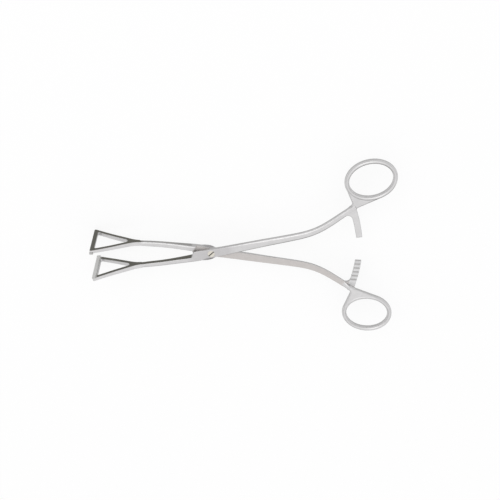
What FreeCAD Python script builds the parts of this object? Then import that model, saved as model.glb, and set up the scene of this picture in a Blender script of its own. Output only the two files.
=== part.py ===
import FreeCAD, Part
import math
import os

# Ring-handled tissue forceps with triangular windowed jaws, a screw lap joint and a
# ratchet. Millimetres and degrees.
#
# Both halves are the same forging, one of them turned over about X. A half is drawn
# shut, with the pivot on Z, the jaw on -X, the ring on +X, the lap plane at z = 0 and
# the mating side towards -Z. It is then opened about the pivot to its rest position.
# The finished part has its origin on the pivot, on the flat back of the joint.

V = FreeCAD.Vector
Z_AXIS = V(0, 0, 1)
PIVOT = V(0, 0, 0)

# Rest position: how far each half stands open from shut
REST_OPENING = 6.28

# Jaw
JAW_REACH = 77.65  # pivot to jaw tip
JAW_LENGTH = 30.0  # tip to the plain shank
JAW_WIDTH = 28.9  # along the gripping edge
JAW_TAPER = 24.8  # each side of the triangle against the shank
JAW_CORNER = 0.9
JAW_BLEND = 24.0  # hollow radius where the triangle runs into the shank
JAW_EDGE = 0.3  # broken edges on the back of the jaw
JAW_CURVE = ((0.42, 0.3), (0.76, 0.78))  # share of the length, share of the change from tip to root
SIDE_BAR = 2.4
END_BAR = 2.7
WINDOW_APEX = 1.9
WINDOW_CORNER = 0.7

# Gripping pad with cross serrations
PAD_WIDTH = 2.3
PAD_INSET = 0.3  # from each corner of the jaw
SERRATION_PITCH = 0.95
SERRATION_DEPTH = 0.4
SERRATION_GAP = 0.06  # left between the two pads when shut

# Jaw shank, seen from the front: distance from the pivot line to the inner and outer
# edges, at the tip, across the jaw, along the bow and at the joint
TIP_INNER = 0.85
TIP_OUTER = 3.0
ROOT_INNER = 1.85
ROOT_OUTER = 4.65
BOW_INNER = 2.0
BOW_OUTER = 5.1
JOINT_INNER = 1.1
JOINT_OUTER = 4.5
SHANK_DEPTH = 3.1  # along Z
BOW_AT = 0.38  # share of the shank's length where the bow is widest
SHANK_SOFT = 0.35  # rounding of the shank's corners
SHANK_BACK_SOFT = 3.0  # how many times larger that is on the outer side of the bow

# Lap joint
PLATE = 2.4  # thickness of one half at the joint
JOINT_WIDTH = 6.2
PLATE_END = 12.6  # pivot to the slanted end of the plate, on the pivot line
PLATE_SLANT = 29.5  # of that end, against a square cut
SHOULDER_GAP = 0.2  # plate end to the other half's shoulder
LAP_GAP = 0.02  # between the two mating faces
PLATE_CORNER = 0.8
PLATE_EDGE = 0.35
JOINT_SWELL = 0.95  # how far the shank's foot stands out past the joint's side

# Handle shank: two straight runs joined by a bend
HANDLE_LEAN = 4.5
BEND_AT = 69.2  # pivot to the corner of the two runs
BEND_RADIUS = 50.0
BEND_TURN = 25.5
SHANK_WIDTH = 5.7  # just behind the joint
NECK_WIDTH = 3.5
CROWN = 2.4  # height of the half-round shank above the lap plane
CROWN_START = 9.0  # pivot to where the square section starts to turn half-round
CROWN_RUN = 34.0
CROWN_SIDE = 0.62  # share of the crown's height taken by its rounded sides
CROWN_TOP = 0.4  # share of the width rounded on each side

# Ratchet
BAR_RADIUS = 96.5  # pivot to the middle of the bar
BAR_WIDTH = 4.2
BAR_OVERLAP = 1.1  # how far the bar passes the pivot line when shut
BAR_THICK = 2.25
BAR_FILLET = 3.0
BAR_EDGE = 0.5
BAR_TIP_LEAN = 0.3
TOOTH_PITCH = 3.0
TOOTH_DEPTH = 0.85
TOOTH_COUNT = 5
TOOTH_LEAD = 1.9  # bar end to the first steep face
TOOTH_GAP = 0.05  # from each crest to the lap plane
TOOTH_RAKE = 0.15  # lean of the steep face
TOOTH_FLAT = 0.35  # width of the crest

# Finger ring
RING_LONG = 13.9  # semi-axes of the opening
RING_SHORT = 11.2
RING_TILT = 7.8
RING_WIDTH = 3.0  # of the rim, across
RING_DEPTH = 4.4  # of the rim, along Z
NECK_LENGTH = 5.4  # neck to rim
NECK_ANGLE = 56.5  # direction from the neck to the ring's centre
WEB_DEPTH = 3.8
WEB_EDGE = 1.1
WEB_FOOT = 5.0  # neck to where the web dies out on the shank
WAIST_RADIUS = 3.0

# Pivot screw
HEAD_RADIUS = 2.3
HEAD_RIM = 0.5  # straight wall below the head's face
NECK_RADIUS = 1.5
THREAD_RADIUS = 1.4
CONE_DEPTH = 0.8
SLOT_WIDTH = 0.7
SLOT_DEPTH = 0.7
SLOT_ANGLE = 42.0
BORE_GAP = 0.04

# Drawing allowances: how far a cutting body runs past what it cuts
PAST = 40.0
SINK = 1.0
TOUCH = 0.01  # how close two coordinates are when they count as the same


def turned(x, y, degrees):
    """The point (x, y) turned about the pivot."""
    angle = math.radians(degrees)
    return x * math.cos(angle) - y * math.sin(angle), x * math.sin(angle) + y * math.cos(angle)


def heading(degrees):
    """A unit vector in the lap plane."""
    x, y = turned(1, 0, degrees)
    return V(x, y, 0)


def polygon(points):
    """A flat face with straight sides."""
    return Part.Face(Part.makePolygon(list(points) + [points[0]]))


def box(low, high):
    """A block between two corners."""
    return Part.makeBox(high.x - low.x, high.y - low.y, high.z - low.z, low)


def soft_corner(start, control, end):
    """A rounded corner between two straight sides."""
    curve = Part.BezierCurve()
    curve.setPoles([start, control, end])
    return curve.toShape()


def smooth(stations, x):
    """A smooth value at x through a few (x, value) stations."""
    count = len(stations)
    span = 0
    while span < count - 2 and x > stations[span + 1][0]:
        span += 1
    x0, v0 = stations[span]
    x1, v1 = stations[span + 1]
    before = stations[max(span - 1, 0)]
    after = stations[min(span + 2, count - 1)]
    slope0 = (v1 - before[1]) / (x1 - before[0])
    slope1 = (after[1] - v0) / (after[0] - x0)
    t = (x - x0) / (x1 - x0)
    return ((2 * t**3 - 3 * t**2 + 1) * v0 + (t**3 - 2 * t**2 + t) * slope0 * (x1 - x0)
            + (3 * t**2 - 2 * t**3) * v1 + (t**3 - t**2) * slope1 * (x1 - x0))


def section(at, across, left, right, low, high, soft_low, soft_high, soft_left=1.0):
    """A rounded section of a shank, as a wire. It spans left to right along the unit
    vector across, and low to high along Z. soft_low and soft_high give the reach of the
    corners across and along Z, and soft_left scales the corners on the left side."""
    def point(offset, height):
        return at + across * offset + Z_AXIS * height

    low_x, low_z = soft_low
    high_x, high_z = soft_high
    near = soft_left
    edges = [
        Part.makeLine(point(left + low_x * near, low), point(right - low_x, low)),
        soft_corner(point(right - low_x, low), point(right, low), point(right, low + low_z)),
        Part.makeLine(point(right, low + low_z), point(right, high - high_z)),
        soft_corner(point(right, high - high_z), point(right, high), point(right - high_x, high)),
        Part.makeLine(point(right - high_x, high), point(left + high_x * near, high)),
        soft_corner(point(left + high_x * near, high), point(left, high), point(left, high - high_z * near)),
        Part.makeLine(point(left, high - high_z * near), point(left, low + low_z * near)),
        soft_corner(point(left, low + low_z * near), point(left, low), point(left + low_x * near, low)),
    ]
    return Part.Wire(edges)


# Front view of the jaw shank

SHANK_END = -PLATE_END - 2 * SHOULDER_GAP
ROOT = -JAW_REACH + JAW_LENGTH


def shank_stations(tip, root, bow, joint):
    """Stations of one edge of the jaw shank, from the jaw tip to the joint."""
    length = SHANK_END - ROOT
    return [
        (-JAW_REACH, -tip),
        *[(-JAW_REACH + share * JAW_LENGTH, -(tip + (root - tip) * change)) for share, change in JAW_CURVE],
        (ROOT, -root),
        (ROOT + BOW_AT * length, -bow),
        (ROOT + (1 + BOW_AT) / 2 * length, -(2 * bow + joint) / 3),
        (SHANK_END, -joint),
    ]


INNER_EDGE = shank_stations(TIP_INNER, ROOT_INNER, BOW_INNER, JOINT_INNER)
OUTER_EDGE = shank_stations(TIP_OUTER, ROOT_OUTER, BOW_OUTER, JOINT_OUTER)


def jaw_slab():
    """The jaw's thickness, as a slab that follows its curved faces."""
    ends = (-JAW_REACH - SINK, ROOT + SINK)
    steps = 7

    def edge(stations):
        xs = [ends[0] + (ends[1] - ends[0]) * i / (steps - 1) for i in range(steps)]
        curve = Part.BSplineCurve()
        curve.interpolate([V(x, smooth(stations, max(x, -JAW_REACH)), -PAST) for x in xs])
        return curve.toShape()

    inner = edge(INNER_EDGE)
    outer = edge(OUTER_EDGE)
    wire = Part.Wire([
        inner,
        Part.makeLine(inner.Vertexes[-1].Point, outer.Vertexes[-1].Point),
        outer,
        Part.makeLine(outer.Vertexes[0].Point, inner.Vertexes[0].Point),
    ])
    return Part.Face(wire).extrude(V(0, 0, 2 * PAST))


def jaw_plan():
    """The triangle, seen from the gripping side, as a prism along Y."""
    slope = math.tan(math.radians(JAW_TAPER))
    tip = -JAW_REACH
    half = JAW_WIDTH / 2
    neck = SHANK_DEPTH / 2
    meet = tip + (half - neck) / slope
    back = ROOT + 2 * SINK
    outline = polygon([
        V(tip, -PAST, -half), V(meet, -PAST, -neck), V(back, -PAST, -neck),
        V(back, -PAST, neck), V(meet, -PAST, neck), V(tip, -PAST, half),
    ])
    prism = outline.extrude(V(0, 2 * PAST, 0))

    def upright(x):
        return [e for e in prism.Edges
                if abs(e.BoundBox.XMax - x) < TOUCH and e.BoundBox.XLength < TOUCH
                and e.BoundBox.YLength > PAST]

    blend_room = 0.9 * (back - meet) / math.tan(math.radians(JAW_TAPER / 2))
    prism = prism.makeFillet(min(JAW_BLEND, blend_room), upright(meet))
    prism = prism.makeFillet(JAW_CORNER, upright(tip))

    bar = SIDE_BAR / math.cos(math.radians(JAW_TAPER))
    window_start = tip + END_BAR
    window_half = half - END_BAR * slope - bar
    window_end = window_start + window_half / slope
    window = polygon([
        V(window_start, -PAST, -window_half), V(window_end, -PAST, 0), V(window_start, -PAST, window_half),
    ]).extrude(V(0, 2 * PAST, 0))
    apex = [e for e in window.Edges if e.BoundBox.XMin > window_end - TOUCH]
    window = window.makeFillet(WINDOW_APEX, apex)
    corners = [e for e in window.Edges
               if e.BoundBox.XLength < TOUCH and e.BoundBox.XMax < window_start + TOUCH
               and e.BoundBox.YLength > PAST]
    window = window.makeFillet(WINDOW_CORNER, corners)
    return prism.cut(window)


def jaw_pad(phase):
    """The raised end bar with its serrations. phase shifts them by a share of a pitch."""
    pitch = SERRATION_PITCH
    reach = JAW_WIDTH / 2 - PAD_INSET
    crest = (SERRATION_DEPTH - SERRATION_GAP) / 2
    root = crest - SERRATION_DEPTH
    base = -TIP_INNER - SINK / 2
    most = int(reach / pitch) + 1
    ridges = [(i + phase) * pitch for i in range(-most, most)]
    ridges = [z for z in ridges if abs(z) + pitch / 2 < reach]
    outline = [(base, reach), (base, -reach), (root, -reach)]
    for z in ridges:
        outline.append((root, z - pitch / 2))
        outline.append((crest, z))
    outline.append((root, ridges[-1] + pitch / 2))
    outline.append((root, reach))
    return polygon([V(-JAW_REACH, y, z) for y, z in outline]).extrude(V(PAD_WIDTH, 0, 0))


def jaw(phase):
    """The windowed triangle with its pad. The edges of its back are broken."""
    frame = jaw_plan().common(jaw_slab())
    curved = [face for face in frame.Faces if face.Surface.TypeId == "Part::GeomSurfaceOfExtrusion"]
    back = min(curved, key=lambda face: face.CenterOfMass.y)
    frame = frame.makeFillet(JAW_EDGE, [e for e in back.Edges if e.BoundBox.XMin < ROOT])
    return frame.fuse(jaw_pad(phase))


def jaw_shank():
    """The bowed shank from the jaw's root into the joint."""
    half = SHANK_DEPTH / 2
    length = SHANK_END - ROOT
    depth = [(ROOT - SINK, half), (ROOT + BOW_AT * length, half),
             (ROOT + (1 + BOW_AT) / 2 * length, (3 * half + PLATE) / 4), (SHANK_END, PLATE), (0, PLATE)]
    across = V(0, 1, 0)
    soft = (SHANK_SOFT, SHANK_SOFT)
    wires = []
    for share in (-SINK / length, 0.15, 0.35, 0.57, 0.8, 1):
        x = ROOT + share * length
        z = smooth(depth, x)
        wires.append(section(V(x, 0, 0), across, smooth(OUTER_EDGE, x), smooth(INNER_EDGE, x), -z, z,
                             soft, soft, SHANK_BACK_SOFT))
    half = JOINT_WIDTH / 2
    for x, low, high in [(-0.6 * PLATE_END, -half - JOINT_SWELL, 0), (2 * SINK, -half, SINK)]:
        wires.append(section(V(x, 0, 0), across, low, high, -PLATE, PLATE, soft, soft))
    return Part.makeLoft(wires, True, False)


def joint_plate():
    """The flat plate of the lap joint, with its slanted free end."""
    half = JOINT_WIDTH / 2
    slant = math.tan(math.radians(PLATE_SLANT))
    inner = JOINT_INNER + 1.5 * SINK
    base = LAP_GAP / 2
    tail = 5 * SINK
    outline = polygon([
        V(-PLATE_END + half * slant, half, base), V(-PLATE_END - inner * slant, -inner, base),
        V(0, -inner, base), V(tail, -inner + SINK / 2, base), V(tail, half, base),
    ])
    plate = outline.extrude(V(0, 0, PLATE - base))
    corner = [e for e in plate.Edges
              if e.BoundBox.ZLength > PLATE / 2 and abs(e.BoundBox.YMax - half) < TOUCH
              and e.BoundBox.XMax < 0]
    plate = plate.makeFillet(PLATE_CORNER, corner)
    rim = [e for e in plate.Edges if e.BoundBox.ZMin > PLATE - TOUCH and e.BoundBox.XMin < tail - TOUCH
           and e.CenterOfMass.y > -inner + SINK / 2]
    return plate.makeFillet(PLATE_EDGE, rim)


def shoulder_recess():
    """What is milled away for the other half: all of this half below the lap plane,
    from the shoulder to the foot of the ratchet."""
    slant = math.tan(math.radians(PLATE_SLANT))
    neck = handle_point(handle_length() - NECK_WIDTH)
    reach = JOINT_WIDTH * 2
    level = LAP_GAP / 2

    def shoulder(y):
        return -PLATE_END - y * slant - SHOULDER_GAP

    return polygon([
        V(shoulder(-reach), -reach, level), V(shoulder(reach), reach, level),
        V(0, PAST + reach, level), V(neck.x - reach, PAST + reach, level),
        neck + V(-NECK_WIDTH / 2, NECK_WIDTH, level), neck + V(NECK_WIDTH / 6, -NECK_WIDTH, level),
        V(neck.x + reach, -reach, level),
    ]).extrude(V(0, 0, -PAST))


# Handle

RUN_1 = heading(HANDLE_LEAN)
RUN_2 = heading(HANDLE_LEAN + BEND_TURN)
BEND_TANGENT = BEND_RADIUS * math.tan(math.radians(BEND_TURN / 2))
BEND_CORNER = RUN_1 * BEND_AT
BEND_ARC = BEND_RADIUS * math.radians(BEND_TURN)


def handle_length():
    """Length of the centreline, from the pivot to the neck, which lies on the outer
    edge of the ratchet bar's circle."""
    reach = BAR_RADIUS + BAR_WIDTH / 2
    along = BEND_CORNER.dot(RUN_2)
    second = -along + math.sqrt(along**2 - BEND_CORNER.Length**2 + reach**2)
    return BEND_AT - BEND_TANGENT + BEND_ARC + second - BEND_TANGENT


def handle_angle(s):
    """Direction of the centreline at a length s from the pivot."""
    start = BEND_AT - BEND_TANGENT
    share = min(max((s - start) / BEND_ARC, 0), 1)
    return HANDLE_LEAN + BEND_TURN * share


def handle_point(s):
    """The centreline's point at a length s from the pivot."""
    start = BEND_AT - BEND_TANGENT
    if s <= start:
        return RUN_1 * s
    if s >= start + BEND_ARC:
        return BEND_CORNER + RUN_2 * (BEND_TANGENT + s - start - BEND_ARC)
    centre = RUN_1 * start + heading(HANDLE_LEAN + 90) * BEND_RADIUS
    return centre + heading(handle_angle(s) - 90) * BEND_RADIUS


def handle_width(s):
    """Width of the handle shank at a length s from the pivot."""
    share = min(max(s / handle_length(), 0), 1)
    return SHANK_WIDTH + (NECK_WIDTH - SHANK_WIDTH) * share


def handle_shank():
    """The half-round shank behind the joint. It is drawn deeper than the lap plane,
    which then trims it flat."""
    start = BEND_AT - BEND_TANGENT
    end = start + BEND_ARC
    length = handle_length()
    middle = (CROWN_START + start) / 2
    lengths = [-SINK, CROWN_START, CROWN_START + CROWN_RUN / 3, middle, start, start + BEND_ARC / 2, end,
               (end + length) / 2, length]
    wires = []
    for s in lengths:
        width = handle_width(s) if s > 0 else JOINT_WIDTH
        share = min(max((s - CROWN_START) / CROWN_RUN, 0), 1)
        round_x = SHANK_SOFT + share * (CROWN_TOP * width - SHANK_SOFT)
        round_z = SHANK_SOFT + share * (CROWN_SIDE * CROWN - SHANK_SOFT)
        across = heading(handle_angle(s) + 90)
        wires.append(section(handle_point(s), across, -width / 2, width / 2, -SINK, CROWN,
                             (SHANK_SOFT, SHANK_SOFT), (round_x, round_z)))
    return Part.makeLoft(wires, True, False)


def ratchet_bar():
    """The toothed bar, an arc about the pivot, with its hollow fillet to the shank."""
    inner = BAR_RADIUS - BAR_WIDTH / 2
    outer = BAR_RADIUS + BAR_WIDTH / 2
    length = handle_length()
    neck = handle_point(length)
    side = heading(handle_angle(length) - 90)
    before = length - 2 * BAR_WIDTH
    edge_point = handle_point(before) + side * (handle_width(before) / 2 - SHANK_SOFT)

    # Centre of the fillet: its radius away from the shank's lower edge and from the
    # bar's inner arc
    base = edge_point + side * BAR_FILLET
    along = base.dot(RUN_2)
    reach = inner - BAR_FILLET
    centre = base + RUN_2 * (-along + math.sqrt(along**2 - base.Length**2 + reach**2))
    on_shank = centre - side * BAR_FILLET
    on_bar = centre * (inner / centre.Length)
    halfway = (on_shank - centre).normalize() + (on_bar - centre).normalize()
    between = centre + halfway.normalize() * BAR_FILLET

    end_angle = -math.degrees(BAR_OVERLAP / BAR_RADIUS)
    neck_angle = math.degrees(math.atan2(neck.y, neck.x) - NECK_WIDTH / 2 / BAR_RADIUS)
    bar_start = math.degrees(math.atan2(on_bar.y, on_bar.x))
    tip_in = heading(end_angle) * (inner + BAR_TIP_LEAN)
    tip_out = heading(end_angle) * outer
    right = heading(neck_angle) * outer
    top = handle_point(length - SINK) - side * (NECK_WIDTH / 2 - SHANK_SOFT)
    back = on_shank - side * (NECK_WIDTH * 0.7)
    inner_middle = heading((bar_start + end_angle) / 2) * (inner + BAR_TIP_LEAN / 4)
    outer_middle = heading((end_angle + neck_angle) / 2) * outer
    wire = Part.Wire([
        Part.Arc(on_shank, between, on_bar).toShape(),
        Part.Arc(on_bar, inner_middle, tip_in).toShape(),
        Part.makeLine(tip_in, tip_out),
        Part.Arc(tip_out, outer_middle, right).toShape(),
        Part.makeLine(right, top),
        Part.makeLine(top, back),
        Part.makeLine(back, on_shank),
    ])
    bar = Part.Face(wire).extrude(V(0, 0, BAR_THICK))
    rim = [e for e in bar.Edges if e.BoundBox.ZMin > BAR_THICK - TOUCH
           and e.BoundBox.YMin < on_bar.y + BAR_EDGE and e.BoundBox.XMax > inner - 2 * SINK]
    bar = bar.makeFillet(BAR_EDGE, rim)
    return bar.cut(tooth_gaps())


def tooth_gaps():
    """What is cut from the mating side of the bar: saw teeth whose ramps face the bar's
    end, and the gap that holds their crests off the lap plane."""
    low = BAR_RADIUS - BAR_WIDTH
    high = BAR_RADIUS + BAR_WIDTH
    end_y = -BAR_OVERLAP
    outline = [(end_y - SINK, -SINK), (end_y - SINK, TOOTH_GAP)]
    steep = end_y + TOOTH_LEAD
    for tooth in range(TOOTH_COUNT):
        outline.append((steep, TOOTH_GAP))
        outline.append((steep + TOOTH_RAKE, TOOTH_GAP + TOOTH_DEPTH))
        steep += TOOTH_PITCH
        outline.append((steep - TOOTH_FLAT, TOOTH_GAP))
    outline.append((steep + SINK, TOOTH_GAP))
    outline.append((steep + SINK, -SINK))
    return polygon([V(low, y, z) for y, z in outline]).extrude(V(high - low, 0, 0))


# Finger ring

def ring_centre():
    """The ring's centre, set off from the neck so that the rim keeps its distance."""
    neck = handle_point(handle_length())
    a = RING_LONG + RING_WIDTH
    b = RING_SHORT + RING_WIDTH
    angle = math.radians(NECK_ANGLE - RING_TILT)
    rim = a * b / math.hypot(b * math.cos(angle), a * math.sin(angle))
    return neck + heading(NECK_ANGLE) * (NECK_LENGTH + rim)


def ring_frame(shape):
    """Moves a shape drawn about the origin to the ring's place."""
    shape.rotate(PIVOT, Z_AXIS, RING_TILT)
    shape.translate(ring_centre())
    return shape


def ring_ellipse(growth):
    """The opening's ellipse grown by a distance, as a wire about the origin."""
    ellipse = Part.Ellipse(PIVOT, RING_LONG + growth, RING_SHORT + growth)
    return Part.Wire(ellipse.toShape())


def finger_ring():
    """The rim: an oval section carried round an ellipse."""
    path = ring_ellipse(RING_WIDTH / 2)
    start = V(RING_LONG + RING_WIDTH / 2, 0, 0)
    oval = Part.Ellipse(start + V(0, 0, RING_DEPTH / 2), start + V(RING_WIDTH / 2, 0, 0), start)
    rim = path.makePipeShell([Part.Wire(oval.toShape())], True, False)
    return ring_frame(rim)


def ring_tangent(point, side):
    """Where a line from the given point touches the rim's outer edge. It is drawn a
    little inside it, so that the web sinks into the rim. side is 1 or -1."""
    inset = 0.93 * RING_WIDTH
    a = RING_LONG + inset
    b = RING_SHORT + inset
    rel = point - ring_centre()
    x, y = turned(rel.x, rel.y, -RING_TILT)
    middle = math.atan2(y / b, x / a)
    spread = math.acos(1 / math.hypot(x / a, y / b))
    t = middle + side * spread
    x, y = turned(a * math.cos(t), b * math.sin(t), RING_TILT)
    return ring_centre() + V(x, y, 0)


def ring_web():
    """The flared web from the neck to both sides of the ring, with rounded edges."""
    length = handle_length()
    neck = handle_point(length)
    across = heading(NECK_ANGLE + 90)
    left = neck + across * (NECK_WIDTH / 2)
    right = neck - across * (NECK_WIDTH / 2)
    foot = handle_point(length - WEB_FOOT)
    foot_across = heading(handle_angle(length) + 90)
    foot_half = handle_width(length) / 2 - SHANK_SOFT
    middle = ring_centre()
    low = V(0, 0, -WEB_DEPTH / 2)
    corners = [
        foot + foot_across * foot_half, left, ring_tangent(left, -1), middle, ring_tangent(right, 1), right,
        foot - foot_across * foot_half,
    ]
    web = polygon([corner + low for corner in corners]).extrude(V(0, 0, WEB_DEPTH))
    waist = [e for e in web.Edges if e.BoundBox.ZLength > WEB_DEPTH / 2
             and min((e.CenterOfMass - point).Length for point in (left, right)) < TOUCH]
    web = web.makeFillet(WAIST_RADIUS, waist)
    rim = [e for e in web.Edges if abs(abs(e.CenterOfMass.z) - WEB_DEPTH / 2) < TOUCH
           and min(math.hypot(v.X - middle.x, v.Y - middle.y) for v in e.Vertexes) > SINK]
    web = web.makeFillet(WEB_EDGE, rim)
    hole = Part.Face(ring_ellipse(RING_WIDTH * 0.4)).extrude(V(0, 0, 2 * PAST))
    hole.translate(V(0, 0, -PAST))
    return web.cut(ring_frame(hole))


def milled(blank):
    """Trims a lofted blank to the joint's flat faces and to the lap plane."""
    front = Part.makeBox(4 * PAST, 4 * PAST, PAST, V(-1.5 * PAST, -2 * PAST, PLATE))
    back = Part.makeBox(4 * PAST, 4 * PAST, PAST, V(-1.5 * PAST, -2 * PAST, -PLATE - PAST))
    return blank.cut(front).cut(back).cut(shoulder_recess())


def forging(phase):
    """One half, shut, with its mating side towards -Z."""
    body = milled(jaw_shank())
    handle = milled(handle_shank())
    for piece in (joint_plate(), handle, jaw(phase), ratchet_bar(), ring_web(), finger_ring()):
        body = body.fuse(piece)
    return body


def bore(radius, low, high):
    """A cylinder on the pivot axis."""
    return Part.makeCylinder(radius, high - low, V(0, 0, low))


def front_half():
    """The half that shows the screw's head."""
    body = forging(0)
    gap = BORE_GAP
    body = body.cut(bore(NECK_RADIUS + gap, -SINK, PLATE + SINK))
    foot = V(0, 0, PLATE - HEAD_RIM - CONE_DEPTH - gap)
    cone = Part.makeCone(NECK_RADIUS + gap, HEAD_RADIUS + gap, CONE_DEPTH, foot)
    seat = cone.fuse(bore(HEAD_RADIUS + gap, PLATE - HEAD_RIM - gap, PLATE + SINK))
    return body.cut(seat)


def rear_half():
    """The same forging turned over, with its teeth half a pitch along."""
    body = forging(0.5)
    body.rotate(PIVOT, V(1, 0, 0), 180)
    return body.cut(bore(THREAD_RADIUS, -PLATE - SINK, SINK))


def pivot_screw():
    """Slotted countersunk screw: its neck carries the front half, and its threaded end
    is peened flush with the back of the rear half."""
    rim = bore(HEAD_RADIUS, PLATE - HEAD_RIM, PLATE)
    cone = Part.makeCone(NECK_RADIUS, HEAD_RADIUS, CONE_DEPTH, V(0, 0, PLATE - HEAD_RIM - CONE_DEPTH))
    neck = bore(NECK_RADIUS, 0, PLATE - HEAD_RIM - CONE_DEPTH)
    thread = bore(THREAD_RADIUS, -PLATE, 0)
    slot = box(V(-PAST, -SLOT_WIDTH / 2, PLATE - SLOT_DEPTH), V(PAST, SLOT_WIDTH / 2, PLATE + SINK))
    slot.rotate(PIVOT, Z_AXIS, SLOT_ANGLE)
    return rim.fuse([cone, neck, thread]).cut(slot)


def placed(shape, opening):
    """Opens a shape about the pivot and lifts it onto the joint's back face."""
    shape.rotate(PIVOT, Z_AXIS, opening)
    shape.translate(V(0, 0, PLATE))
    return shape


def write(name, shape):
    """Writes one node."""
    shape = shape.removeSplitter()
    solids = shape.Solids
    print(name, "solids", len(solids), "valid", shape.isValid(), "volume", round(shape.Volume, 2))
    shape.exportStep("parts/" + name + ".step")


os.makedirs("parts", exist_ok=True)
write("front_half", placed(front_half(), REST_OPENING))
write("rear_half", placed(rear_half(), -REST_OPENING))
write("pivot_screw", placed(pivot_screw(), 0))
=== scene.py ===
import math

import bmesh
import bpy
from mathutils import Matrix, Vector


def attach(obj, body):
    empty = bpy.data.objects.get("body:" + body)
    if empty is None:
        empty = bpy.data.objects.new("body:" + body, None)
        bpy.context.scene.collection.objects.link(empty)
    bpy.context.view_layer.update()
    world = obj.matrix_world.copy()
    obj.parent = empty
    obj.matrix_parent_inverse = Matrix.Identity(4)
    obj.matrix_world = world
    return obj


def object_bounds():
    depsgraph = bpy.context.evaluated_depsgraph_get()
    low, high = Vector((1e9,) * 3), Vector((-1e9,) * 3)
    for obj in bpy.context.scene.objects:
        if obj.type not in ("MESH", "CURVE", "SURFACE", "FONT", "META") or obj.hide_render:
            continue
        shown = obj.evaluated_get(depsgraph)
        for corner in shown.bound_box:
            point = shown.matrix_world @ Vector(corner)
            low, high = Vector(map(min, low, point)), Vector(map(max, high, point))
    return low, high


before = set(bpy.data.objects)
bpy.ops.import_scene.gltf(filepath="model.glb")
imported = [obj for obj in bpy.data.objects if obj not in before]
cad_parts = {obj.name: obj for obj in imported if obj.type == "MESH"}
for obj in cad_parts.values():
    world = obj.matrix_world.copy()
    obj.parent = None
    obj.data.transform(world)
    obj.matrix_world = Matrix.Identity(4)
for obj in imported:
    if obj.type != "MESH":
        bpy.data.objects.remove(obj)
CAD_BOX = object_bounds()

# The plane in which the two halves lie on each other at the joint, and how far each half
# stands open at rest
LAP_HEIGHT = 0.0024
REST_OPENING = math.radians(6.28)


# Node helpers

NOISE_ROUGHNESS = 0.55


class Tree:
    """Short calls for building a node tree."""

    def __init__(self, tree):
        self.nodes = tree.nodes
        self.links = tree.links
        self.nodes.clear()

    def add(self, kind, inputs=None, **settings):
        node = self.nodes.new(kind)
        for name, value in settings.items():
            setattr(node, name, value)
        for key, value in (inputs or {}).items():
            self.plug(node.inputs[key], value)
        return node

    def plug(self, socket, value):
        if isinstance(value, bpy.types.NodeSocket):
            self.links.new(value, socket)
        else:
            socket.default_value = value

    def math(self, operation, a, b=0.0, clamp=False):
        node = self.add("ShaderNodeMath", {0: a, 1: b}, operation=operation, use_clamp=clamp)
        return node.outputs[0]

    def step(self, value, start, full):
        """0 up to start and 1 from full, smooth between them. start may be the higher."""
        inputs = {"Value": value, "From Min": start, "From Max": full}
        node = self.add("ShaderNodeMapRange", inputs, interpolation_type="SMOOTHSTEP")
        return node.outputs["Result"]

    def both(self, *masks):
        """Where all the masks are."""
        result = masks[0]
        for mask in masks[1:]:
            result = self.math("MULTIPLY", result, mask)
        return result

    def weigh(self, a, weight_a, b, weight_b):
        """The sum of two values, each times its weight."""
        return self.math("ADD", self.math("MULTIPLY", a, weight_a), self.math("MULTIPLY", b, weight_b))

    def length(self, a, b):
        squares = self.math("ADD", self.math("MULTIPLY", a, a), self.math("MULTIPLY", b, b))
        return self.math("SQRT", squares)

    def blend(self, factor, a, b):
        """One colour over another. The Mix node's colour sockets are numbers 6 and 7."""
        node = self.add("ShaderNodeMix", {0: factor, 6: a, 7: b}, data_type="RGBA")
        return node.outputs[2]

    def blend_value(self, factor, a, b):
        """The same for numbers, whose sockets on the Mix node are 2 and 3."""
        node = self.add("ShaderNodeMix", {0: factor, 2: a, 3: b}, data_type="FLOAT")
        return node.outputs[0]

    def noise(self, vector, scale, detail):
        inputs = {"Vector": vector, "Scale": scale, "Detail": detail, "Roughness": NOISE_ROUGHNESS}
        return self.add("ShaderNodeTexNoise", inputs).outputs[0]


def new_material(name):
    material = bpy.data.materials.new(name)
    material.use_nodes = True
    return material, Tree(material.node_tree)


def rgba(r, g, b):
    return (r, g, b, 1.0)


def metal_surface(t, colour, rough, height, bump_size):
    """Bare metal, with height as its bump."""
    bump = t.add("ShaderNodeBump", {"Height": height, **bump_size})
    surface = t.add("ShaderNodeBsdfPrincipled", {
        "Base Color": colour, "Metallic": 1.0, "Roughness": rough, "Normal": bump.outputs[0]})
    t.add("ShaderNodeOutputMaterial", {"Surface": surface.outputs[0]})


WHITE = rgba(1.0, 1.0, 1.0)


# Steel of the halves

# Places on a half, from the pivot, in the frame in which both halves are the same: shut,
# jaw towards -X, ring towards +X, lap plane at zero and mating side towards -Z
PAD_END = -0.0749  # the bar with the serrations lies beyond it
PAD_LEVEL = -0.0011  # the same bar's back in Y
JAW_ROOT = -0.047  # where the shank meets the windowed triangle
JOINT_END = -0.0128  # the joint's end towards the jaw
BAR_INNER = 0.0941  # radius of the ratchet bar's inner edge about the pivot
BAR_ROOT = 0.021  # the ratchet bar's end in Y at the handle

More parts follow.
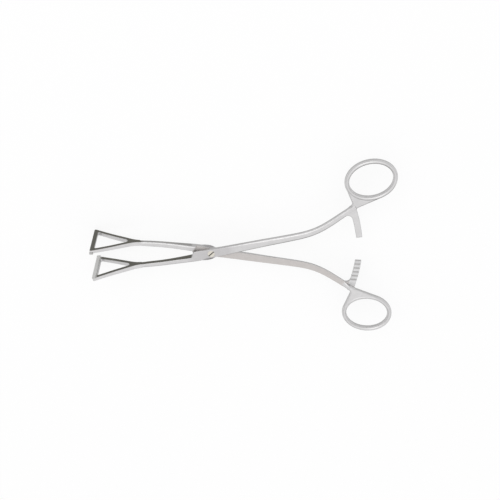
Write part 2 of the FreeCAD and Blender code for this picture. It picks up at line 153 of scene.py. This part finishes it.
# Where a mask starts and where it is full
JAW_SIDE = (JOINT_END + 0.001, JOINT_END - 0.001)
HANDLE_SIDE = (JOINT_END, JOINT_END + 0.004)
JAW_TRIANGLE = (JAW_ROOT + 0.003, JAW_ROOT)
PAD_ALONG = (PAD_END + 0.0002, PAD_END - 0.0001)
PAD_ACROSS = (PAD_LEVEL - 0.0002, PAD_LEVEL + 0.0002)
BAR_OUTWARD = (BAR_INNER - 0.0002, BAR_INNER)
BAR_ACROSS = (BAR_ROOT, BAR_ROOT - 0.004)
JOINT_RADIUS = (0.017, 0.011)
MATING_BOTTOM = (-0.0004, -0.0001)
MATING_TOP = (0.0018, 0.0008)
# how deep in the teeth the painted shade starts and is full
TOOTH_DEPTH = (0.00035, 0.00060)

# The same for how far a face is turned some way, as a part of its normal
DOWNWARD = (-0.75, -0.93)
SIDEWAYS = (0.45, 0.10)
TRIANGLE_FACING = (0.62, 0.86)
SHANK_FACING = (0.90, 1.0)
# how far a face turns outward and up before the painted shade on the inner shoulder starts and is full
SHOULDER_OUTWARD = (0.22, 0.60)
SHOULDER_UPWARD = (0.10, 0.35)

SHANK_SHARE = 0.45  # how much of the jaw face's tone the shank's outer side takes

# Tones, each painted over the ones before it
CROWN = rgba(0.66, 0.655, 0.655)
TONES = {
    "joint": rgba(0.58, 0.572, 0.575),
    # painted shade: faces turned sideways are darker than the crown
    "side": rgba(0.46, 0.455, 0.455),
    # painted shade: a dark line along each handle's inner shoulder
    "inner_shoulder_shade": rgba(0.30, 0.295, 0.29),
    "mating": rgba(0.65, 0.625, 0.61),
    "ratchet_bar": rgba(0.70, 0.70, 0.70),
    # painted shade in the roots of the ratchet teeth
    "tooth_root_shade": rgba(0.50, 0.495, 0.49),
    "jaw_face": rgba(0.125, 0.122, 0.105),
    "pad": rgba(0.58, 0.58, 0.57),
}

# Noise patterns, each with its scale and detail. The brush lines run along the half
BRUSH_STRETCH = (70.0, 2600.0, 2600.0)
BRUSH_LINES = (1.0, 2.0)
MOTTLE = (260.0, 4.0)
GRAIN = (5200.0, 2.0)

SHADE_LEAST = 0.82
SHADE_LINES = 0.16
SHADE_MOTTLE = 0.20
ROUGH_SATIN = 0.34
ROUGH_MATING = 0.62
ROUGH_JAW_FACE = 0.46
ROUGH_MOTTLE = 0.10
BUMP_LINES = 0.6
BUMP_GRAIN = 0.4
HALF_BUMP = {"Strength": 0.12, "Distance": 0.00005}


def same_frame(t, turned_over):
    """Place and facing in the frame in which both halves are the same."""
    rotation = (math.pi if turned_over else 0.0, 0.0, -REST_OPENING)
    coordinates = t.add("ShaderNodeTexCoord").outputs
    from_lap = t.add("ShaderNodeVectorMath", {0: coordinates["Object"], 1: (0.0, 0.0, -LAP_HEIGHT)})
    place = t.add("ShaderNodeMapping", {"Vector": from_lap.outputs[0], "Rotation": rotation},
                  vector_type="POINT")
    facing = t.add("ShaderNodeMapping", {"Vector": coordinates["Normal"], "Rotation": rotation},
                   vector_type="VECTOR")
    return place.outputs[0], facing.outputs[0]


def half_masks(t, place, facing):
    """Where each tone lies on a half."""
    x, y, z = t.add("ShaderNodeSeparateXYZ", {0: place}).outputs
    normal = t.add("ShaderNodeSeparateXYZ", {0: facing}).outputs
    inward = normal["Y"]
    upward = normal["Z"]
    outward = t.math("MULTIPLY", inward, -1.0)
    radius = t.length(x, y)

    triangle = t.step(x, *JAW_TRIANGLE)
    outer_ends = [t.blend_value(triangle, on_shank, on_triangle)
                  for on_shank, on_triangle in zip(SHANK_FACING, TRIANGLE_FACING)]
    inner_face = t.step(inward, *TRIANGLE_FACING)
    outer_face = t.both(t.step(outward, *outer_ends), t.blend_value(triangle, SHANK_SHARE, 1.0))
    downward = t.step(upward, *DOWNWARD)
    ratchet_bar = t.both(t.step(radius, *BAR_OUTWARD), t.step(y, *BAR_ACROSS), downward)
    shoulder_out = t.step(outward, *SHOULDER_OUTWARD)
    shoulder_up = t.step(upward, *SHOULDER_UPWARD)
    return {
        "joint": t.step(radius, *JOINT_RADIUS),
        # painted shade on faces turned sideways
        "side": t.step(t.math("ABSOLUTE", upward), *SIDEWAYS),
        # painted shade along each handle's inner shoulder
        "inner_shoulder_shade": t.both(t.step(x, *HANDLE_SIDE), shoulder_out, shoulder_up),
        "mating": t.both(downward, t.step(z, *MATING_BOTTOM), t.step(z, *MATING_TOP)),
        "ratchet_bar": ratchet_bar,
        # painted shade in the roots of the ratchet teeth
        "tooth_root_shade": t.both(ratchet_bar, t.step(z, *TOOTH_DEPTH)),
        "jaw_face": t.both(t.step(x, *JAW_SIDE), t.math("MAXIMUM", inner_face, outer_face)),
        "pad": t.both(t.step(x, *PAD_ALONG), t.step(y, *PAD_ACROSS)),
    }


def half_material(name, turned_over):
    """Satin steel for one half."""
    material, t = new_material(name)
    place, facing = same_frame(t, turned_over)
    masks = half_masks(t, place, facing)

    brushed = t.add("ShaderNodeMapping", {"Vector": place, "Scale": BRUSH_STRETCH}, vector_type="POINT")
    lines = t.noise(brushed.outputs[0], *BRUSH_LINES)
    mottle = t.noise(place, *MOTTLE)
    grain = t.noise(place, *GRAIN)

    colour = CROWN
    for part, tone in TONES.items():
        colour = t.blend(masks[part], colour, tone)
    shade = t.math("ADD", t.weigh(lines, SHADE_LINES, mottle, SHADE_MOTTLE), SHADE_LEAST)
    grey = t.add("ShaderNodeCombineXYZ", {0: shade, 1: shade, 2: shade}).outputs[0]
    colour = t.add("ShaderNodeVectorMath", {0: colour, 1: grey}, operation="MULTIPLY").outputs[0]

    rough = t.blend_value(masks["mating"], ROUGH_SATIN, ROUGH_MATING)
    rough = t.blend_value(masks["jaw_face"], rough, ROUGH_JAW_FACE)
    rough = t.math("ADD", rough, t.math("MULTIPLY", mottle, ROUGH_MOTTLE))
    metal_surface(t, colour, rough, t.weigh(lines, BUMP_LINES, grain, BUMP_GRAIN), HALF_BUMP)
    return material


# Steel of the screw

SCREW_DARK = rgba(0.64, 0.61, 0.54)
SCREW_LIGHT = rgba(0.80, 0.77, 0.69)
# painted shade inside the slot
SLOT_SHADE = rgba(0.12, 0.115, 0.105)
SLOT_TOP = (0.00465, 0.0043)
SLOT_FLOOR = (0.0036, 0.0039)
SCREW_RINGS = (9000.0, 1.0)
SCREW_MOTTLE = (900.0, 3.0)
SCREW_ROUGH = 0.28
SCREW_ROUGH_MOTTLE = 0.12
SCREW_BUMP = {"Strength": 0.15, "Distance": 0.00003}


def screw_material():
    """Turned steel with fine rings about the pivot, and painted shade in the slot."""
    material, t = new_material("screw_steel_turned")
    place = t.add("ShaderNodeTexCoord").outputs["Object"]
    x, y, z = t.add("ShaderNodeSeparateXYZ", {0: place}).outputs
    radius = t.add("ShaderNodeCombineXYZ", {0: t.length(x, y)}).outputs[0]
    rings = t.noise(radius, *SCREW_RINGS)
    mottle = t.noise(place, *SCREW_MOTTLE)
    slot = t.both(t.step(z, *SLOT_TOP), t.step(z, *SLOT_FLOOR))
    # the slot is painted dark as shade
    colour = t.blend(slot, t.blend(mottle, SCREW_DARK, SCREW_LIGHT), SLOT_SHADE)
    rough = t.math("ADD", SCREW_ROUGH, t.math("MULTIPLY", mottle, SCREW_ROUGH_MOTTLE))
    metal_surface(t, colour, rough, rings, SCREW_BUMP)
    return material


def dress(node, material):
    """Gives a CAD node one material in all its slots."""
    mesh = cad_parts[node].data
    for index in range(len(mesh.materials)):
        mesh.materials[index] = material
    if not mesh.materials:
        mesh.materials.append(material)


FRONT_STEEL = half_material("satin_steel_front", False)
REAR_STEEL = half_material("satin_steel_rear", True)
dress("front_half", FRONT_STEEL)
dress("rear_half", REAR_STEEL)
dress("pivot_screw", screw_material())


# Neck ramps: the soft rise from each handle's flat mating side to the ring's thicker web

NECK = Vector((0.09629, 0.02119, 0.0))  # shut, where the handle ends at the ratchet bar
NECK_HEADING = math.radians(30.0)
WEB_RISE = 0.00192  # from the lap plane to the web's face
RAMP_START = 0.0100  # before the neck, as is the next
RAMP_END = 0.0035
START_HALF = 0.00178  # half the width, as is the next
END_HALF = 0.00140
RAMP_SINK = 0.0004  # how deep the ramp's edges lie inside the handle
RAMP_SECTIONS = 15
RAMP_POINTS = 17
RAMP_FULLNESS = 0.62  # under 1 is fuller than an ellipse


def rest_placement(turned_over):
    """From the frame in which both halves are the same to the rest position."""
    lift = Matrix.Translation((0.0, 0.0, LAP_HEIGHT))
    if turned_over:
        return lift @ Matrix.Rotation(-REST_OPENING, 4, "Z") @ Matrix.Rotation(math.pi, 4, "X")
    return lift @ Matrix.Rotation(REST_OPENING, 4, "Z")


def ramp_points(placement):
    """Rounded sections across the ramp, one after the other towards the ring."""
    along = Vector((math.cos(NECK_HEADING), math.sin(NECK_HEADING), 0.0))
    across = Vector((-along.y, along.x, 0.0))
    points = []
    for section in range(RAMP_SECTIONS):
        share = section / (RAMP_SECTIONS - 1)
        rise = share * share * (3 - 2 * share)
        centre = NECK - along * (RAMP_START + (RAMP_END - RAMP_START) * share)
        half = START_HALF + (END_HALF - START_HALF) * share
        height = WEB_RISE * rise + RAMP_SINK
        for index in range(RAMP_POINTS):
            angle = math.pi * index / (RAMP_POINTS - 1)
            aside = math.copysign(abs(math.cos(angle)) ** RAMP_FULLNESS, math.cos(angle)) * half
            depth = max(math.sin(angle), 0.0) ** RAMP_FULLNESS * height - RAMP_SINK
            points.append(placement @ (centre + across * aside - Vector((0.0, 0.0, depth))))
    return points


def ramp_faces():
    """Strips from section to section, and a cap at each end."""
    faces = []
    last = (RAMP_SECTIONS - 1) * RAMP_POINTS
    for here in range(0, last, RAMP_POINTS):
        beyond = here + RAMP_POINTS
        for index in range(RAMP_POINTS):
            following = (index + 1) % RAMP_POINTS
            faces.append((here + index, here + following, beyond + following, beyond + index))
    faces.append(tuple(reversed(range(RAMP_POINTS))))
    faces.append(tuple(range(last, last + RAMP_POINTS)))
    return faces


def neck_ramp(body, material, turned_over):
    mesh = bpy.data.meshes.new(body + "_neck_ramp")
    mesh.from_pydata(ramp_points(rest_placement(turned_over)), [], ramp_faces())
    edit = bmesh.new()
    edit.from_mesh(mesh)
    bmesh.ops.recalc_face_normals(edit, faces=edit.faces)
    edit.to_mesh(mesh)
    edit.free()
    mesh.shade_smooth()
    mesh.materials.append(material)
    piece = bpy.data.objects.new(body + "_neck_ramp", mesh)
    bpy.context.scene.collection.objects.link(piece)
    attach(piece, body)


neck_ramp("front", FRONT_STEEL, False)
neck_ramp("rear", REAR_STEEL, True)


# Floor

FLOOR_SIZE = 3.0
FLOOR_PAINT = rgba(0.92, 0.92, 0.92)
FLOOR_GLOW = 0.8  # share of the floor that shows its own white, so that shadows stay pale


def background_rays(t):
    """1 for rays that show the background: seen directly, in gloss or through glass."""
    path = t.add("ShaderNodeLightPath").outputs
    rays = t.math("ADD", path["Is Camera Ray"], path["Is Glossy Ray"], clamp=True)
    return t.math("ADD", rays, path["Is Transmission Ray"], clamp=True)


def floor_material():
    material, t = new_material("floor_white")
    diffuse = t.add("ShaderNodeBsdfDiffuse", {"Color": FLOOR_PAINT})
    glow = t.add("ShaderNodeEmission", {"Color": WHITE, "Strength": 1.0})
    share = t.math("MULTIPLY", background_rays(t), FLOOR_GLOW)
    mix = t.add("ShaderNodeMixShader", {0: share, 1: diffuse.outputs[0], 2: glow.outputs[0]})
    t.add("ShaderNodeOutputMaterial", {"Surface": mix.outputs[0]})
    return material


def make_floor():
    mesh = bpy.data.meshes.new("floor")
    low = CAD_BOX[0][2]
    half = FLOOR_SIZE / 2
    corners = [(-half, -half, low), (half, -half, low), (half, half, low), (-half, half, low)]
    mesh.from_pydata(corners, [], [(0, 1, 2, 3)])
    mesh.materials.append(floor_material())
    floor = bpy.data.objects.new("floor", mesh)
    bpy.context.scene.collection.objects.link(floor)


make_floor()


# Light

SKY_COLOUR = rgba(1.0, 0.995, 1.0)
SKY_HORIZON = 0.62
SKY_OVERHEAD = 0.98
SKY_HEIGHT = (-0.05, 0.60)  # over which it brightens from the horizon
SKY_DIM_SIDE = (-0.55, -1.0)  # in Y, where it is dimmer
SKY_DIMMING = 0.25
PATCH_AT = (0.0, 0.574, 0.819)  # the middle of a brighter patch
PATCH_REACH = (0.80, 0.98)
PATCH_GLOW = 0.30
LAMP_SIZE = 0.9


def make_world():
    """A pale studio sky that lights the scene and is plain white to the camera."""
    world = bpy.data.worlds.new("studio")
    bpy.context.scene.world = world
    world.use_nodes = True
    t = Tree(world.node_tree)
    direction = t.add("ShaderNodeTexCoord").outputs["Generated"]
    parts = t.add("ShaderNodeSeparateXYZ", {0: direction}).outputs
    sky = t.blend_value(t.step(parts["Z"], *SKY_HEIGHT), SKY_HORIZON, SKY_OVERHEAD)
    dimming = t.math("MULTIPLY", t.step(parts["Y"], *SKY_DIM_SIDE), SKY_DIMMING)
    sky = t.math("MULTIPLY", sky, t.math("SUBTRACT", 1.0, dimming))
    aim = t.add("ShaderNodeVectorMath", {0: direction, 1: PATCH_AT}, operation="DOT_PRODUCT")
    patch = t.step(aim.outputs["Value"], *PATCH_REACH)
    sky = t.math("ADD", sky, t.math("MULTIPLY", patch, PATCH_GLOW))
    light = t.add("ShaderNodeBackground", {"Color": SKY_COLOUR, "Strength": sky})
    white = t.add("ShaderNodeBackground", {"Color": WHITE, "Strength": 1.0})
    camera = t.add("ShaderNodeLightPath").outputs["Is Camera Ray"]
    mix = t.add("ShaderNodeMixShader", {0: camera, 1: light.outputs[0], 2: white.outputs[0]})
    t.add("ShaderNodeOutputWorld", {"Surface": mix.outputs[0]})


def soft_lamp(name, place, target, power):
    lamp = bpy.data.lights.new(name, "AREA")
    lamp.shape = "DISK"
    lamp.size = LAMP_SIZE
    lamp.energy = power
    holder = bpy.data.objects.new(name, lamp)
    holder.location = place
    holder.rotation_euler = (Vector(target) - Vector(place)).to_track_quat("-Z", "Y").to_euler()
    bpy.context.scene.collection.objects.link(holder)


make_world()
soft_lamp("key", place=(-0.30, 0.75, 1.10), target=(0.0, 0.0, 0.0), power=1.6)
soft_lamp("fill", place=(0.40, -0.90, 0.90), target=(0.05, 0.0, 0.0), power=0.35)


# Camera: the photograph's, found from the outlines of both halves

VIEW_LEAN = math.radians(30.300)  # from the pivot axis towards +Y
VIEW_TURN = math.radians(0.7597)  # about Y
VIEW_ROLL = math.radians(-1.7852)
VIEW_DISTANCE = 0.700  # from the pivot, along the view
IMAGE_SIZE = 500.0
FOCAL_PIXELS = 1071.975
PIVOT_PIXEL = (211.256, 252.221)
SENSOR = 36.0
CLIP_START = 0.01


def make_camera():
    lean, turn, roll = VIEW_LEAN, VIEW_TURN, VIEW_ROLL
    back = Vector((math.sin(turn) * math.cos(lean), math.sin(lean), math.cos(turn) * math.cos(lean)))
    level_right = Vector((0.0, 1.0, 0.0)).cross(back).normalized()
    level_up = back.cross(level_right)
    right = math.cos(roll) * level_right + math.sin(roll) * level_up
    up = -math.sin(roll) * level_right + math.cos(roll) * level_up
    pivot_right = (PIVOT_PIXEL[0] - IMAGE_SIZE / 2) / FOCAL_PIXELS * VIEW_DISTANCE
    pivot_up = (IMAGE_SIZE / 2 - PIVOT_PIXEL[1]) / FOCAL_PIXELS * VIEW_DISTANCE
    place = Vector((0.0, 0.0, LAP_HEIGHT)) + VIEW_DISTANCE * back - pivot_right * right - pivot_up * up

    data = bpy.data.cameras.new("camera")
    data.sensor_fit = "HORIZONTAL"
    data.sensor_width = SENSOR
    data.lens = FOCAL_PIXELS / IMAGE_SIZE * SENSOR
    data.clip_start = CLIP_START
    camera = bpy.data.objects.new("camera", data)
    camera.matrix_world = Matrix.Translation(place) @ Matrix((right, up, back)).transposed().to_4x4()
    bpy.context.scene.collection.objects.link(camera)
    bpy.context.scene.camera = camera


make_camera()
bpy.context.scene.view_settings.view_transform = "Standard"
